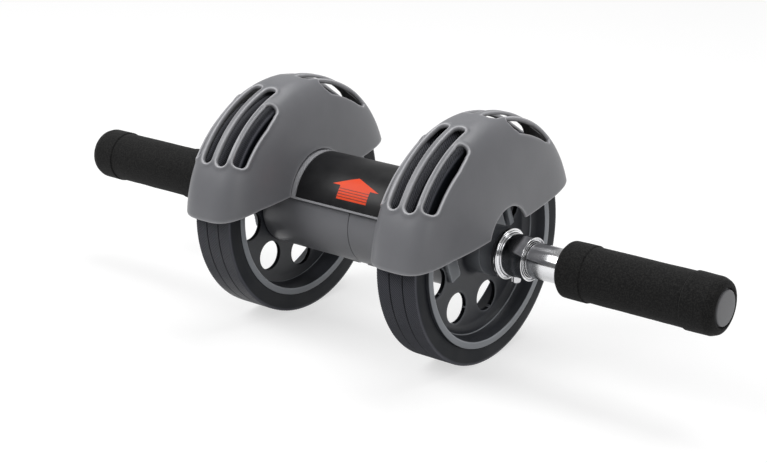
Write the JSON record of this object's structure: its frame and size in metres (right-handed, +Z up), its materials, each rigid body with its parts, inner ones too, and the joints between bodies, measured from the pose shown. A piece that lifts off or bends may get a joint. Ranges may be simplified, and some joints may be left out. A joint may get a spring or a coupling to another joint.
{
  "type": "ab roller",
  "caption": "Two-wheel ab roller: hooded wheels on one axle tube, a barrel with spring return between them, and a foam grip locked in each end by a snap button.",
  "frame": {"origin": "floor level under the middle of the axle", "axes": "+X along the axle, -Y towards the user, +Z up"},
  "size_m": [0.5746, 0.1894, 0.1793],
  "materials": {
    "hood_plastic": "satin",
    "wheel_plastic": "satin",
    "tyre_rubber": "knurled matte",
    "grip_foam": "foam",
    "chrome": "polished",
    "zinc_steel": "bright",
    "spring_steel": "oiled",
    "bush_nylon": "smooth",
    "label_film": "satin",
    "cap_plastic": "satin"
  },
  "bodies": {
    "body": {"barrel_left": "hood_plastic", "barrel_right": "hood_plastic", "upper_cover": "hood_plastic", "label_panel": "label_film", "left_hood": "hood_plastic", "right_hood": "hood_plastic", "axle_tube": "chrome", "spring_anchor": "wheel_plastic", "anchor_pin": "zinc_steel", "barrel_screw_1": "zinc_steel", "barrel_screw_2": "zinc_steel", "barrel_screw_3": "zinc_steel", "barrel_screw_4": "zinc_steel", "hood_screw_1": "zinc_steel", "hood_screw_2": "zinc_steel", "hood_screw_3": "zinc_steel", "hood_screw_4": "zinc_steel", "left_collar": "chrome", "left_retaining_ring": "zinc_steel", "left_handle_tube": "chrome", "left_grip": "grip_foam", "left_end_cap": "cap_plastic", "left_button_spring": "spring_steel", "left_return_spring": "spring_steel", "right_collar": "chrome", "right_retaining_ring": "zinc_steel", "right_handle_tube": "chrome", "right_grip": "grip_foam", "right_end_cap": "cap_plastic", "right_button_spring": "spring_steel", "right_return_spring": "spring_steel"},
    "left_wheel": {"left_wheel": "wheel_plastic", "left_tyre": "tyre_rubber", "left_outer_bush": "bush_nylon", "left_inner_bush": "bush_nylon", "left_drive_hub": "wheel_plastic", "left_drive_screw_1": "zinc_steel", "left_drive_screw_2": "zinc_steel", "left_drive_screw_3": "zinc_steel"},
    "left_button": {"left_snap_button": "zinc_steel"},
    "right_wheel": {"right_wheel": "wheel_plastic", "right_tyre": "tyre_rubber", "right_outer_bush": "bush_nylon", "right_inner_bush": "bush_nylon", "right_drive_hub": "wheel_plastic", "right_drive_screw_1": "zinc_steel", "right_drive_screw_2": "zinc_steel", "right_drive_screw_3": "zinc_steel"},
    "right_button": {"right_snap_button": "zinc_steel"}
  },
  "joints": [
    {"name": "left_wheel_roll", "type": "hinge", "parent": "body", "child": "left_wheel", "pos_m": [-0.0871, 0, 0.085], "axis": [1, 0, 0], "range_deg": [-720, 0], "stiffness_Nm_per_rad": 0.16, "springref_deg": 114.59, "deforming": ["left_return_spring"]},
    {"name": "right_wheel_roll", "type": "hinge", "parent": "body", "child": "right_wheel", "pos_m": [0.0871, 0, 0.085], "axis": [1, 0, 0], "range_deg": [-720, 0], "stiffness_Nm_per_rad": 0.16, "springref_deg": 114.59, "deforming": ["right_return_spring"]},
    {"name": "left_button_press", "type": "slide", "parent": "body", "child": "left_button", "axis": [0, 0, 1], "range_m": [0, 0.0073], "stiffness_N_per_m": 300, "deforming": ["left_button_spring"]},
    {"name": "right_button_press", "type": "slide", "parent": "body", "child": "right_button", "axis": [0, 0, 1], "range_m": [0, 0.0073], "stiffness_N_per_m": 300, "deforming": ["right_button_spring"]}
  ]
}
